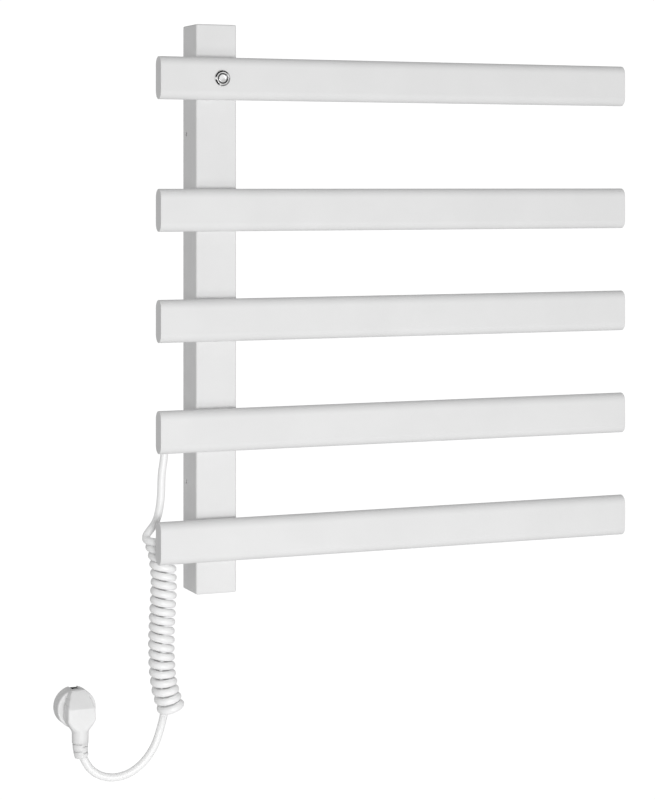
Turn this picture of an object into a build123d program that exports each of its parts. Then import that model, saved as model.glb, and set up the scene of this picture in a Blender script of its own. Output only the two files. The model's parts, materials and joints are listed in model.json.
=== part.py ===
from build123d import *
import math
import os

# Electric towel warmer rack, in millimetres.
# X runs along the rails, +Y runs into the wall, +Z is up.
# The origin is on the wall, half way between the two wall brackets' screw holes.

# ---- driving dimensions -------------------------------------------------

WALL_GAP = 15.0            # wall to the column's back
COLUMN_SIDE = 40.0         # outer side of the square column
COLUMN_HEIGHT = 535.0      # with both end caps
COLUMN_WALL = 1.5
COLUMN_CORNER = 2.0
RAIL_LENGTH = 490.0        # with both end caps
RAIL_HEIGHT = 40.0
RAIL_DEPTH = 16.0
RAIL_WALL = 1.5
RAIL_LEFT_OVERHANG = 40.0  # rail's left end to the column's left face
RAIL_DROPS = (51.5, 174.5, 277.5, 380.5, 483.5)   # column's top to each rail's centre
CAP_PLATE = 2.0            # visible thickness of every end cap
CAP_SKIRT = 10.0           # length of the skirt inside the tube
CAP_PLAY = 0.1             # skirt to tube wall
RAIL_CAP_EDGE = 0.5        # rounding round the face of a rail's cap
COLUMN_CAP_EDGE = 1.5      # the same on the column's caps
SKIRT_WALL = 1.2
SKIRT_CHAMFER = 0.6

BRACKET_SPACING = 330.0    # between the two wall screws
FLANGE_DIAMETER = 26.0
FLANGE_THICKNESS = 4.0
POST_DIAMETER = 16.0
POST_HOLE = 16.6           # hole in the column's back
POST_LENGTH = 36.0         # wall to the post's free end
WALL_SCREW_HOLE = 5.5
SCREW_HEAD_BORE = 10.4
SCREW_SEAT = 6.0           # wall to the floor of the head's bore
BRACKET_CHAMFER = 0.8
GROOVE_DEPTH = 1.0
GROOVE_WIDTH = 6.0
GRUB_FROM_BACK = 10.0      # grub screw's axis to the column's back
GRUB_DIAMETER = 4.0
GRUB_HOLE = 4.5            # hole in the column's left wall
GRUB_LENGTH = 9.0
GRUB_POINT = 0.6           # chamfer at its tip
GRUB_SOCKET = 2.0          # across flats of the hexagon socket
GRUB_SOCKET_DEPTH = 3.0
WELD_NUT_SIDE = 10.0
WELD_NUT_THICKNESS = 5.0

LEAD_HOLE_X = 12.5         # where each rail's heating cable enters the column
GROMMET_BORE = 4.8
GROMMET_NECK = 7.0
GROMMET_FLANGE = 9.6
GROMMET_LIP = 1.0
HEATER_DIAMETER = 4.5
HEATER_LEG_OFFSET = 8.0    # each leg above or below the rail's centre
HEATER_END_GAP = 18.0      # far bend to the rail's end
LOOM_DIAMETER = 6.0
LOOM_Y = -43.0
LOOM_HALF_LENGTH = 222.0
HEATER_SPREAD = 26.0       # where the cable's legs part, past the grommet
HEATER_RADII = (3.4, 12.0, 7.5, 7.5)

BEZEL_DIAMETER = 14.8
BEZEL_HEIGHT = 2.0
BARREL_DIAMETER = 12.0
BARREL_HOLE = 12.2
BARREL_LENGTH = 27.0
BARREL_WALL = 1.0
BEZEL_CHAMFER = 0.7
SEAL_THICKNESS = 0.5
RECESS_DIAMETER = 11.5
RECESS_DEPTH = 1.2
TRIM_RING_BORE = 10.4
TRIM_RING_SUNK = 0.2       # below the bezel's face, as are the next two
LIGHT_RING_SUNK = 0.4
BUTTON_SUNK = 0.3
LIGHT_RING_BORE = 7.5
BUTTON_DIAMETER = 7.4
BUTTON_TRAVEL = 1.2
BUTTON_HEAD = 5.0
BUTTON_STEM = 3.0
DISH_RADIUS = 16.0         # of the sphere that hollows the button's face
DISH_DEPTH = 0.34
BUTTON_NUT_FLATS = 14.0
BUTTON_NUT_THICKNESS = 2.5
SPRING_WIRE = 0.5
SPRING_TURNS = 5
SPRING_DIAMETER = 5.4      # wire's centreline
SWITCH_LENGTH = 14.5
SWITCH_PIN_PITCH = 2.6
SWITCH_PIN_LENGTH = 2.5

BOARD_LOW = -30.0          # lower and upper ends of the control board
BOARD_HIGH = 62.0
BOARD_HALF_WIDTH = 14.5
BOARD_Y = -25.0            # its middle
BOARD_THICKNESS = 1.6
CARRIER_THICKNESS = 2.0
CARRIER_MARGIN = 2.0
BOARD_SCREW_INSET = 4.0
BOARD_SCREW_DIAMETER = 1.96
BOARD_SCREW_HEAD = 4.4
BOARD_SCREW_HOLE = 2.6
BOSS_DIAMETER = 5.0
TERMINAL_PITCH = 6.0
TERMINAL_SCREW_HOLE = 3.2
TERMINAL_SCREW_Z = -11.0
EARTH_Z = -140.0
EARTH_STUD_DIAMETER = 4.0
EARTH_STUD_LENGTH = 9.0
EARTH_NUT_FLATS = 7.0
LUG_RING = 9.0
LUG_BARREL_DIAMETER = 3.4
SUPPLY_LEAD_DIAMETER = 1.8
BUTTON_LEAD_DIAMETER = 1.0

CORD_DIAMETER = 7.4
COIL_DIAMETER = 25.0
OUTLET_Z = -106.0          # cable gland's axis on the column's left face
OUTLET_BEND = 20.0         # centreline radius of the strain relief
GLAND_HOLE = 12.4
GLAND_DIAMETER = 12.2
GLAND_NECK = 3.0           # length outside the column
GLAND_NECK_DIAMETER = 16.0
GLAND_LENGTH_INSIDE = 8.0
GLAND_NUT_FLATS = 16.0
GLAND_NUT_THICKNESS = 4.0
RELIEF_RADIUS = 6.8        # of the strain relief at the gland
RELIEF_TIP_RADIUS = 4.7

PLUG_X = -122.5            # axis of the wall socket that the plug sits in
PLUG_Z = -375.0
PLUG_DIAMETER = 37.0
PLUG_INSERT_FRONT = -9.0
PLUG_INSERT_BACK = 8.0
PIN_DIAMETER = 4.8
PIN_LENGTH = 19.0
PIN_SPACING = 19.0
PIN_TIP = 1.6              # rounding of a pin's end
CLIP_GROOVE_DEPTH = 2.2
CLIP_GROOVE_WIDTH = 8.0
CLIP_WIDTH = 6.0
CLIP_THICKNESS = 0.8
COVER_TOP = 19.0           # heights above the pins' axis
COVER_RIDGE = 3.2
COVER_WAIST = -8.0
NECK_TOP = -18.0
NECK_END = -29.0
COVER_TOP_HALF = 9.2       # half widths
COVER_HALF = 13.3
NECK_HALF = 7.6
COVER_TOP_FRONT = -16.0    # front and back faces
COVER_FRONT = -27.2
COVER_BACK = -9.0
NECK_BACK = -12.3
COVER_CORNER = 2.0         # rounding of the outlines' corners
COVER_ROUNDING = 1.8       # rounding of the front rim
PLUG_RELIEF_TOP_RADIUS = 7.3
PLUG_RELIEF_TIP_RADIUS = 6.1
PLUG_RELIEF_TIP = (-120.6, -20.0, -419.5)
PLUG_RELIEF_TILT = 14.0    # degrees from straight down, towards the right

# ---- places worked out from them ----------------------------------------

COLUMN_BACK = -WALL_GAP
COLUMN_FRONT = COLUMN_BACK - COLUMN_SIDE
COLUMN_MID = COLUMN_BACK - COLUMN_SIDE / 2
COLUMN_HALF = COLUMN_SIDE / 2
COLUMN_INNER = COLUMN_HALF - COLUMN_WALL
COLUMN_TOP = COLUMN_HEIGHT / 2
RAIL_MID = COLUMN_FRONT - RAIL_DEPTH / 2
RAIL_FRONT = COLUMN_FRONT - RAIL_DEPTH
RAIL_LEFT = -COLUMN_HALF - RAIL_LEFT_OVERHANG
RAIL_RIGHT = RAIL_LEFT + RAIL_LENGTH
RAIL_HEIGHTS = [COLUMN_TOP - drop for drop in RAIL_DROPS]
BRACKET_HEIGHTS = (BRACKET_SPACING / 2, -BRACKET_SPACING / 2)
GRUB_Y = COLUMN_BACK - GRUB_FROM_BACK
INNER_FRONT = COLUMN_FRONT + COLUMN_WALL
INNER_BACK = COLUMN_BACK - COLUMN_WALL
BUTTON_Z = RAIL_HEIGHTS[0]
BOARD_BACK = BOARD_Y + BOARD_THICKNESS / 2
BOARD_FRONT = BOARD_Y - BOARD_THICKNESS / 2
LUG_BACK = INNER_BACK - 0.8
LUG_FRONT = INNER_BACK - 1.6
# The blocks on the board and on the column's front wall: X, Y and Z extents.
RELAY = ((-9.5, -1.0), (BOARD_FRONT - 12, BOARD_FRONT), (14.0, 36.0))
SUPPLY_MODULE = ((1.5, 9.5), (BOARD_FRONT - 10, BOARD_FRONT), (12.0, 38.0))
TERMINAL_BLOCK = ((-9.0, 9.0), (BOARD_FRONT - 10, BOARD_FRONT), (-18.0, -6.0))
THERMAL_CUTOUT = ((-16.5, -8.5), (INNER_FRONT, INNER_FRONT + 4.0), (118.0, 138.0))

# ---- the cord's route ----------------------------------------------------

# Centreline from inside the strain relief's tip down to inside the coil's top.
CORD_UPPER_ROUTE = (
    (-44.6, -35.0, -126.0),
    (-44.6, -35.0, -137.0),
    (-48.0, -35.0, -156.0),
    (-48.6, -35.0, -176.0),
    (-53.6, -35.0, -197.0),
    (-56.6, -35.0, -211.0),
)
# Axis of the coil, which hangs behind the lowest rail and leans right at its end.
COIL_ROUTE = (
    (-53.3, -35.0, -207.5),
    (-48.2, -35.0, -229.0),
    (-45.0, -35.0, -252.0),
    (-46.8, -35.0, -283.0),
    (-48.2, -35.0, -312.0),
    (-47.3, -35.0, -342.5),
    (-43.3, -35.0, -362.8),
    (-37.0, -35.0, -379.5),
)
# Centreline from inside the coil's end, down in a U and up into the plug.
CORD_LOWER_ROUTE = (
    (-45.0, -35.0, -375.0),
    (-47.6, -35.0, -392.5),
    (-54.0, -34.5, -410.5),
    (-65.0, -33.0, -426.0),
    (-79.5, -30.5, -436.0),
    (-95.7, -27.0, -438.6),
    (-109.0, -23.4, -433.8),
    (-117.0, -20.8, -425.0),
    (-121.0, -19.9, -415.0),
)

parts = {}


def keep(name, shape):
    """Files a finished piece under its name."""
    parts[name] = shape


def block(x, y, z):
    """A box from three (low, high) pairs."""
    size = (x[1] - x[0], y[1] - y[0], z[1] - z[0])
    centre = ((x[0] + x[1]) / 2, (y[0] + y[1]) / 2, (z[0] + z[1]) / 2)
    return Pos(*centre) * Box(*size)


def rod_y(x, z, low, high, diameter):
    """A round rod along Y, from low to high."""
    return Pos(x, (low + high) / 2, z) * Rot(90, 0, 0) * Cylinder(diameter / 2, high - low)


def rod_x(y, z, low, high, diameter):
    """A round rod along X, from low to high."""
    return Pos((low + high) / 2, y, z) * Rot(0, 90, 0) * Cylinder(diameter / 2, high - low)


def ring_y(x, z, low, high, outer, inner):
    """A ring along Y, with a clear hole."""
    return rod_y(x, z, low, high, outer) - rod_y(x, z, low - 1, high + 1, inner)


def corner_radii(points):
    """The largest arcs that a route's runs leave room for, one for each corner."""
    radii = []
    for before, here, after in zip(points, points[1:], points[2:]):
        run_in = Vector(*here) - Vector(*before)
        run_out = Vector(*after) - Vector(*here)
        half_turn = math.radians(run_in.get_angle(run_out)) / 2
        radii.append(0.45 * min(run_in.length, run_out.length) / math.tan(half_turn))
    return radii


def tube(points, radii, diameter):
    """A round solid along straight runs joined by tangent arcs."""
    path = FilletPolyline(*points, radius=radii)
    section = Plane(origin=path @ 0, z_dir=path % 0) * Circle(diameter / 2)
    return sweep(section, path=path), path.length


def wire(points, diameter):
    """A thin lead, with every bend as large as its runs allow."""
    solid, _ = tube(points, corner_radii(points), diameter)
    return solid.solid()


def cord_tube(name, points, diameter):
    """A stretch of the cord, with its radii and its volume against its length."""
    radii = corner_radii(points)
    solid, length = tube(points, radii, diameter)
    expected = math.pi * diameter**2 / 4 * length
    tightest = min(radii) / diameter
    print(name, "length", round(length, 1), "radii", [round(r) for r in radii],
          "tightest in diameters", round(tightest, 1),
          "volume ratio", round(solid.volume / expected, 4))
    keep(name, solid)


# ---- column and its caps -------------------------------------------------


def make_column():
    outline = RectangleRounded(COLUMN_SIDE, COLUMN_SIDE, COLUMN_CORNER)
    bore = RectangleRounded(2 * COLUMN_INNER, 2 * COLUMN_INNER, COLUMN_CORNER / 2)
    length = COLUMN_HEIGHT - 2 * CAP_PLATE
    tube_solid = extrude(outline - bore, length)
    column = Pos(0, COLUMN_MID, -length / 2) * tube_solid
    for height in RAIL_HEIGHTS:
        column -= rod_y(LEAD_HOLE_X, height, COLUMN_FRONT - 1, INNER_FRONT + 1, GROMMET_NECK)
    column -= rod_y(0, BUTTON_Z, COLUMN_FRONT - 1, INNER_FRONT + 1, BARREL_HOLE)
    for height in BRACKET_HEIGHTS:
        column -= rod_y(0, height, INNER_BACK - 1, COLUMN_BACK + 1, POST_HOLE)
        column -= rod_x(GRUB_Y, height, -COLUMN_HALF - 1, -COLUMN_INNER + 1, GRUB_HOLE)
    column -= rod_x(COLUMN_MID, OUTLET_Z, -COLUMN_HALF - 1, -COLUMN_INNER + 1, GLAND_HOLE)
    keep("column", column)


def column_cap(name, side):
    """A flush cap, on the top when side is 1 and on the bottom when side is -1."""
    plate = extrude(RectangleRounded(COLUMN_SIDE, COLUMN_SIDE, COLUMN_CORNER), CAP_PLATE)
    plate = fillet(plate.faces().sort_by(Axis.Z)[-1].edges(), COLUMN_CAP_EDGE)
    outer = 2 * (COLUMN_INNER - CAP_PLAY)
    inner = outer - 2 * COLUMN_WALL
    skirt = extrude(Rectangle(outer, outer) - Rectangle(inner, inner), -CAP_SKIRT)
    skirt = chamfer(skirt.faces().sort_by(Axis.Z)[0].outer_wire().edges(), SKIRT_CHAMFER)
    relief = COLUMN_CORNER / 2
    skirt = fillet(skirt.edges().filter_by(Axis.Z).group_by(SortBy.DISTANCE)[-1], relief)
    cap = plate + skirt
    if side < 0:
        cap = Rot(180, 0, 0) * cap
    keep(name, Pos(0, COLUMN_MID, side * (COLUMN_TOP - CAP_PLATE)) * cap)


# ---- rails, their caps and their heating cables ---------------------------


def flat_oval(height, depth):
    """The rails' outline, in the plane across them."""
    return Plane.YZ * SlotOverall(height, depth, rotation=90)


def make_rail(number, height):
    length = RAIL_LENGTH - 2 * CAP_PLATE
    bore = flat_oval(RAIL_HEIGHT - 2 * RAIL_WALL, RAIL_DEPTH - 2 * RAIL_WALL)
    body = extrude(flat_oval(RAIL_HEIGHT, RAIL_DEPTH) - bore, length, dir=(1, 0, 0))
    rail = Pos(RAIL_LEFT + CAP_PLATE, RAIL_MID, height) * body
    back_wall = (COLUMN_FRONT - RAIL_WALL - 1, COLUMN_FRONT + 1)
    rail -= rod_y(LEAD_HOLE_X, height, *back_wall, GROMMET_NECK)
    if height == BUTTON_Z:
        rail -= rod_y(0, height, RAIL_FRONT - 1, COLUMN_FRONT + 1, BARREL_HOLE)
    keep(f"rail_{number}", rail)


def rail_cap(name, height, side):
    """A flush cap, on the right end when side is 1 and on the left when side is -1."""
    plate = extrude(flat_oval(RAIL_HEIGHT, RAIL_DEPTH), CAP_PLATE, dir=(1, 0, 0))
    plate = fillet(plate.faces().sort_by(Axis.X)[-1].edges(), RAIL_CAP_EDGE)
    play = 2 * (RAIL_WALL + CAP_PLAY)
    hollow = play + 2 * SKIRT_WALL
    outer = flat_oval(RAIL_HEIGHT - play, RAIL_DEPTH - play)
    inner = flat_oval(RAIL_HEIGHT - hollow, RAIL_DEPTH - hollow)
    cap = plate + extrude(outer - inner, CAP_SKIRT, dir=(-1, 0, 0))
    if side < 0:
        cap = Rot(0, 0, 180) * cap
        keep(name, Pos(RAIL_LEFT + CAP_PLATE, RAIL_MID, height) * cap)
    else:
        keep(name, Pos(RAIL_RIGHT - CAP_PLATE, RAIL_MID, height) * cap)


def heating_cable(number, height):
    """A twin-core cable: in through the grommet, out along the rail, and back."""
    low = height - HEATER_LEG_OFFSET
    high = height + HEATER_LEG_OFFSET
    far = RAIL_RIGHT - CAP_PLATE - HEATER_END_GAP
    near = LEAD_HOLE_X + HEATER_SPREAD
    points = (
        (LEAD_HOLE_X, LOOM_Y - LOOM_DIAMETER / 2 - 0.1, height),
        (LEAD_HOLE_X, RAIL_MID, height),
        (near, RAIL_MID, low),
        (far, RAIL_MID, low),
        (far, RAIL_MID, high),
        (near, RAIL_MID, high),
    )
    solid, _ = tube(points, HEATER_RADII, HEATER_DIAMETER)
    keep(f"heating_cable_{number}", solid)


def make_grommets():
    """Rubber rings that guard the cables where rail and column meet."""
    grommets = []
    inner_lip = RAIL_WALL + COLUMN_WALL
    back = INNER_FRONT + GROMMET_LIP
    front = INNER_FRONT - inner_lip - GROMMET_LIP
    for height in RAIL_HEIGHTS:
        ring = rod_y(LEAD_HOLE_X, height, INNER_FRONT - inner_lip, INNER_FRONT, GROMMET_NECK)
        ring += rod_y(LEAD_HOLE_X, height, INNER_FRONT, back, GROMMET_FLANGE)
        ring += rod_y(LEAD_HOLE_X, height, front, INNER_FRONT - inner_lip, GROMMET_FLANGE)
        ring -= rod_y(LEAD_HOLE_X, height, front - 1, back + 1, GROMMET_BORE)
        grommets.append(ring)
    keep("wire_grommets", Compound(children=[g.solid() for g in grommets]))


# ---- wall brackets and what locks them ------------------------------------


def wall_bracket(name, height):
    flange = rod_y(0, height, -FLANGE_THICKNESS, 0, FLANGE_DIAMETER)
    flange = chamfer(flange.faces().sort_by(Axis.Y)[0].edges(), BRACKET_CHAMFER)
    post = rod_y(0, height, -POST_LENGTH, -FLANGE_THICKNESS, POST_DIAMETER)
    post = chamfer(post.faces().sort_by(Axis.Y)[0].edges(), BRACKET_CHAMFER)
    half = GROOVE_WIDTH / 2
    groove_floor = POST_DIAMETER - 2 * GROOVE_DEPTH
    groove = ring_y(0, height, GRUB_Y - half, GRUB_Y + half, POST_DIAMETER + 2, groove_floor)
    bracket = flange + post - groove
    bracket -= rod_y(0, height, -POST_LENGTH - 1, -SCREW_SEAT, SCREW_HEAD_BORE)
    bracket -= rod_y(0, height, -SCREW_SEAT - 1, 1, WALL_SCREW_HOLE)
    keep(name, bracket)


def make_grub_screws():
    """Two screws that press on the brackets' grooves, and the weld nuts they turn in."""
    screws = []
    nuts = []
    tip = -(POST_DIAMETER / 2 - GROOVE_DEPTH) - 0.05
    nut_far = -COLUMN_INNER + WELD_NUT_THICKNESS
    half = WELD_NUT_SIDE / 2
    for height in BRACKET_HEIGHTS:
        screw = rod_x(GRUB_Y, height, tip - GRUB_LENGTH, tip, GRUB_DIAMETER - 0.1)
        screw = chamfer(screw.faces().sort_by(Axis.X)[-1].edges(), GRUB_POINT)
        hexagon = Plane.YZ * RegularPolygon(GRUB_SOCKET / 2, 6, major_radius=False)
        socket = extrude(hexagon, GRUB_SOCKET_DEPTH)
        screw -= Pos(tip - GRUB_LENGTH, GRUB_Y, height) * socket
        screws.append(screw.solid())
        nut = block((-COLUMN_INNER, nut_far), (GRUB_Y - half, GRUB_Y + half),
                    (height - half, height + half))
        nut -= rod_x(GRUB_Y, height, -COLUMN_INNER - 1, nut_far + 1, GRUB_DIAMETER)
        nuts.append(nut.solid())
    keep("grub_screws", Compound(children=screws))
    keep("weld_nuts", Compound(children=nuts))


# ---- push button ------------------------------------------------------------


def make_button():
    """A round metal push button through the top rail into the column."""
    face = RAIL_FRONT - BEZEL_HEIGHT
    rim_back = RAIL_FRONT - SEAL_THICKNESS
    recess_floor = face + RECESS_DEPTH
    barrel_end = RAIL_FRONT + BARREL_LENGTH
    bezel = rod_y(0, BUTTON_Z, face, rim_back, BEZEL_DIAMETER)
    bezel = chamfer(bezel.faces().sort_by(Axis.Y)[0].edges(), BEZEL_CHAMFER)
    housing = bezel + rod_y(0, BUTTON_Z, rim_back, barrel_end, BARREL_DIAMETER)
    housing -= rod_y(0, BUTTON_Z, face - 1, recess_floor, RECESS_DIAMETER)
    guide_end = face + BUTTON_SUNK + BUTTON_HEAD + BUTTON_TRAVEL
    housing -= rod_y(0, BUTTON_Z, face, guide_end, LIGHT_RING_BORE)
    spring_room = SPRING_DIAMETER + SPRING_WIRE + 0.6
    seat = guide_end + 4.0
    housing -= rod_y(0, BUTTON_Z, face, seat, spring_room)
    housing -= rod_y(0, BUTTON_Z, face, seat + 2, BUTTON_STEM + 0.4)
    bore = BARREL_DIAMETER - 2 * BARREL_WALL
    housing -= rod_y(0, BUTTON_Z, seat + 1, barrel_end + 1, bore)
    keep("button_housing", housing)
    keep("button_seal", ring_y(0, BUTTON_Z, rim_back, RAIL_FRONT,
                               BEZEL_DIAMETER - 0.8, BARREL_HOLE))
    keep("button_trim_ring", ring_y(0, BUTTON_Z, face + TRIM_RING_SUNK, recess_floor,
                                    RECESS_DIAMETER, TRIM_RING_BORE))
    keep("button_light_ring", ring_y(0, BUTTON_Z, face + LIGHT_RING_SUNK, recess_floor,
                                     TRIM_RING_BORE, LIGHT_RING_BORE))

    front = face + BUTTON_SUNK
    button = rod_y(0, BUTTON_Z, front, front + BUTTON_HEAD, BUTTON_DIAMETER)
    button = chamfer(button.faces().sort_by(Axis.Y)[0].edges(), 0.3)
    button -= Pos(0, front + DISH_DEPTH - DISH_RADIUS, BUTTON_Z) * Sphere(DISH_RADIUS)
    stem_end = seat + 1.6
    button += rod_y(0, BUTTON_Z, front + BUTTON_HEAD, stem_end, BUTTON_STEM)
    keep("button_cap", button)

    spring_start = front + BUTTON_HEAD + SPRING_WIRE / 2
    spring_length = seat - spring_start - SPRING_WIRE / 2
    helix = Helix(spring_length / SPRING_TURNS, spring_length, SPRING_DIAMETER / 2)
    coil = sweep(Plane(origin=helix @ 0, z_dir=helix % 0) * Circle(SPRING_WIRE / 2), path=helix)
    keep("button_spring", Pos(0, spring_start, BUTTON_Z) * Rot(-90, 0, 0) * coil)

    hexagon = RegularPolygon(BUTTON_NUT_FLATS / 2, 6, major_radius=False, rotation=30)
    nut = extrude(Plane.XZ * hexagon, BUTTON_NUT_THICKNESS, dir=(0, 1, 0))
    nut = Pos(0, INNER_FRONT, BUTTON_Z) * nut
    nut -= rod_y(0, BUTTON_Z, INNER_FRONT - 1, INNER_FRONT + 4, BARREL_DIAMETER + 0.1)
    keep("button_nut", nut)

    switch_start = stem_end + BUTTON_TRAVEL + 0.1
    switch_end = switch_start + SWITCH_LENGTH
    switch = rod_y(0, BUTTON_Z, switch_start, switch_end, bore - 0.1)
    for x in (-SWITCH_PIN_PITCH, 0.0, SWITCH_PIN_PITCH):
        switch += block((x - 0.6, x + 0.6), (switch_end, switch_end + SWITCH_PIN_LENGTH),
                        (BUTTON_Z - 0.25, BUTTON_Z + 0.25))
    keep("button_switch", switch)
    return switch_end + SWITCH_PIN_LENGTH


# ---- electrics inside the column --------------------------------------------

def make_board():
    """The control board on its carrier, against the column's back wall."""
    half = BOARD_HALF_WIDTH
    carrier_front = INNER_BACK - CARRIER_THICKNESS
    carrier = block((-half - CARRIER_MARGIN, half + CARRIER_MARGIN),
                    (carrier_front, INNER_BACK),
                    (BOARD_LOW - 2 * CARRIER_MARGIN, BOARD_HIGH + 2 * CARRIER_MARGIN))
    board = block((-half, half), (BOARD_FRONT, BOARD_BACK), (BOARD_LOW, BOARD_HIGH))
    screws = []
    for x in (-half + BOARD_SCREW_INSET, half - BOARD_SCREW_INSET):
        for z in (BOARD_LOW + BOARD_SCREW_INSET, BOARD_HIGH - BOARD_SCREW_INSET):
            carrier += rod_y(x, z, BOARD_BACK, carrier_front, BOSS_DIAMETER)
            carrier -= rod_y(x, z, BOARD_BACK - 1, carrier_front + 1.4, 2.0)
            board -= rod_y(x, z, BOARD_FRONT - 1, BOARD_BACK + 1, BOARD_SCREW_HOLE)
            screw = rod_y(x, z, BOARD_FRONT - 1.5, BOARD_FRONT, BOARD_SCREW_HEAD)
            screw += rod_y(x, z, BOARD_FRONT, carrier_front, BOARD_SCREW_DIAMETER)
            screws.append(screw.solid())
    keep("board_carrier", carrier)
    keep("control_board", board)
    keep("board_screws", Compound(children=screws))

    for name, size in (("relay", RELAY), ("supply_module", SUPPLY_MODULE)):
        housing = block(*size)
        keep(name, fillet(housing.edges().filter_by(Axis.Y), 0.8))
    terminal = block(*TERMINAL_BLOCK)
    low = TERMINAL_BLOCK[2][0]
    for index in (-1, 0, 1):
        x = index * TERMINAL_PITCH
        terminal -= rod_y(x, TERMINAL_SCREW_Z, BOARD_FRONT - 11, BOARD_FRONT - 4,
                          TERMINAL_SCREW_HOLE)
        terminal -= block((x - 1.6, x + 1.6), (BOARD_FRONT - 4.6, BOARD_FRONT - 1.4),
                          (low - 1, low + 4))
    keep("terminal_block", terminal)


def make_earth():
    """The stud, the crimped lug and the nut that earth the column."""
    keep("earth_stud", rod_y(0, EARTH_Z, INNER_BACK - EARTH_STUD_LENGTH, INNER_BACK,
                             EARTH_STUD_DIAMETER))
    lug = ring_y(0, EARTH_Z, LUG_FRONT, LUG_BACK, LUG_RING, EARTH_STUD_DIAMETER + 0.2)
    lug += block((-2.4, 2.4), (LUG_FRONT, LUG_BACK), (EARTH_Z + 4.2, EARTH_Z + 12))
    lug += Pos(0, LUG_FRONT - 0.2, EARTH_Z + 14) * Cylinder(LUG_BARREL_DIAMETER / 2, 6)
    keep("earth_lug", lug)
    hexagon = RegularPolygon(EARTH_NUT_FLATS / 2, 6, major_radius=False)
    nut = Pos(0, LUG_FRONT, EARTH_Z) * extrude(Plane.XZ * hexagon, 3.0, dir=(0, -1, 0))
    nut -= rod_y(0, EARTH_Z, INNER_BACK - 6, INNER_BACK, EARTH_STUD_DIAMETER + 0.06)
    keep("earth_nut", nut)


def make_wiring(button_end):
    """The loom, the thermal cut-out and the leads; button_end is the switch's rear."""
    loom = Cylinder(LOOM_DIAMETER / 2, 2 * LOOM_HALF_LENGTH)
    keep("wiring_loom", Pos(LEAD_HOLE_X, LOOM_Y, 0) * loom)
    cutout = block(*THERMAL_CUTOUT)
    keep("thermal_cutout", fillet(cutout.edges().filter_by(Axis.Y), 1.2))

    entry = TERMINAL_BLOCK[2][0] + 0.5
    wire_y = BOARD_FRONT - 3.0
    leads = []
    for index in (-1, 0, 1):
        x = index * TERMINAL_PITCH
        y = COLUMN_MID + index * 2.2
        points = ((-9.0, y, OUTLET_Z), (0.6 * x - 3.0, y, OUTLET_Z + 1),
                  (x, wire_y, OUTLET_Z + 24), (x, wire_y, entry))
        leads.append(wire(points, SUPPLY_LEAD_DIAMETER))
    keep("supply_leads", Compound(children=leads))

    leads = []
    for index in (-1, 0, 1):
        x = index * SWITCH_PIN_PITCH
        points = ((x, button_end + 0.1, BUTTON_Z), (x, button_end + 1.5, BUTTON_Z - 1),
                  (x, -40.0, BUTTON_Z - 14), (x, -40.4, 90.0),
                  (x, BOARD_FRONT - 0.6, BOARD_HIGH - 6))
        leads.append(wire(points, BUTTON_LEAD_DIAMETER))
    keep("button_leads", Compound(children=leads))


# ---- cable outlet, cord and plug ---------------------------------------------


def make_outlet():
    """A gland in the column's left wall, and a strain relief that turns down."""
    neck = -COLUMN_HALF - GLAND_NECK
    inner_end = -COLUMN_INNER + GLAND_LENGTH_INSIDE
    gland = rod_x(COLUMN_MID, OUTLET_Z, neck, -COLUMN_HALF, GLAND_NECK_DIAMETER)
    gland = chamfer(gland.faces().sort_by(Axis.X)[0].edges(), 0.8)
    gland += rod_x(COLUMN_MID, OUTLET_Z, -COLUMN_HALF, inner_end, GLAND_DIAMETER)
    gland -= rod_x(COLUMN_MID, OUTLET_Z, -COLUMN_INNER - 1, inner_end + 1, CORD_DIAMETER + 0.6)
    keep("cable_gland", gland)
    hexagon = Plane.YZ * RegularPolygon(GLAND_NUT_FLATS / 2, 6, major_radius=False)
    nut = extrude(hexagon, GLAND_NUT_THICKNESS, dir=(1, 0, 0))
    nut = Pos(-COLUMN_INNER, COLUMN_MID, OUTLET_Z) * nut
    nut -= rod_x(COLUMN_MID, OUTLET_Z, -COLUMN_INNER - 1, -COLUMN_INNER + 6, GLAND_DIAMETER + 0.1)
    keep("gland_nut", nut)

    bend_x = CORD_UPPER_ROUTE[0][0] + OUTLET_BEND
    bend_z = CORD_UPPER_ROUTE[0][2]
    sections = [Plane((neck, COLUMN_MID, OUTLET_Z), z_dir=(-1, 0, 0)) * Circle(RELIEF_RADIUS)]
    steps = 5
    for step in range(1, steps + 1):
        share = step / steps
        angle = math.radians(90 * share)
        centre = (bend_x - OUTLET_BEND * math.sin(angle), COLUMN_MID,
                  bend_z + OUTLET_BEND * math.cos(angle))
        along = (-math.cos(angle), 0, -math.sin(angle))
        radius = RELIEF_RADIUS + (RELIEF_TIP_RADIUS - RELIEF_RADIUS) * share
        sections.append(Plane(centre, z_dir=along) * Circle(radius))
    keep("cord_strain_relief", loft(sections))


def make_cord():
    cord_tube("cord_upper", CORD_UPPER_ROUTE, CORD_DIAMETER)
    cord_tube("cord_coil", COIL_ROUTE, COIL_DIAMETER)
    cord_tube("cord_lower", CORD_LOWER_ROUTE, CORD_DIAMETER)


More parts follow.
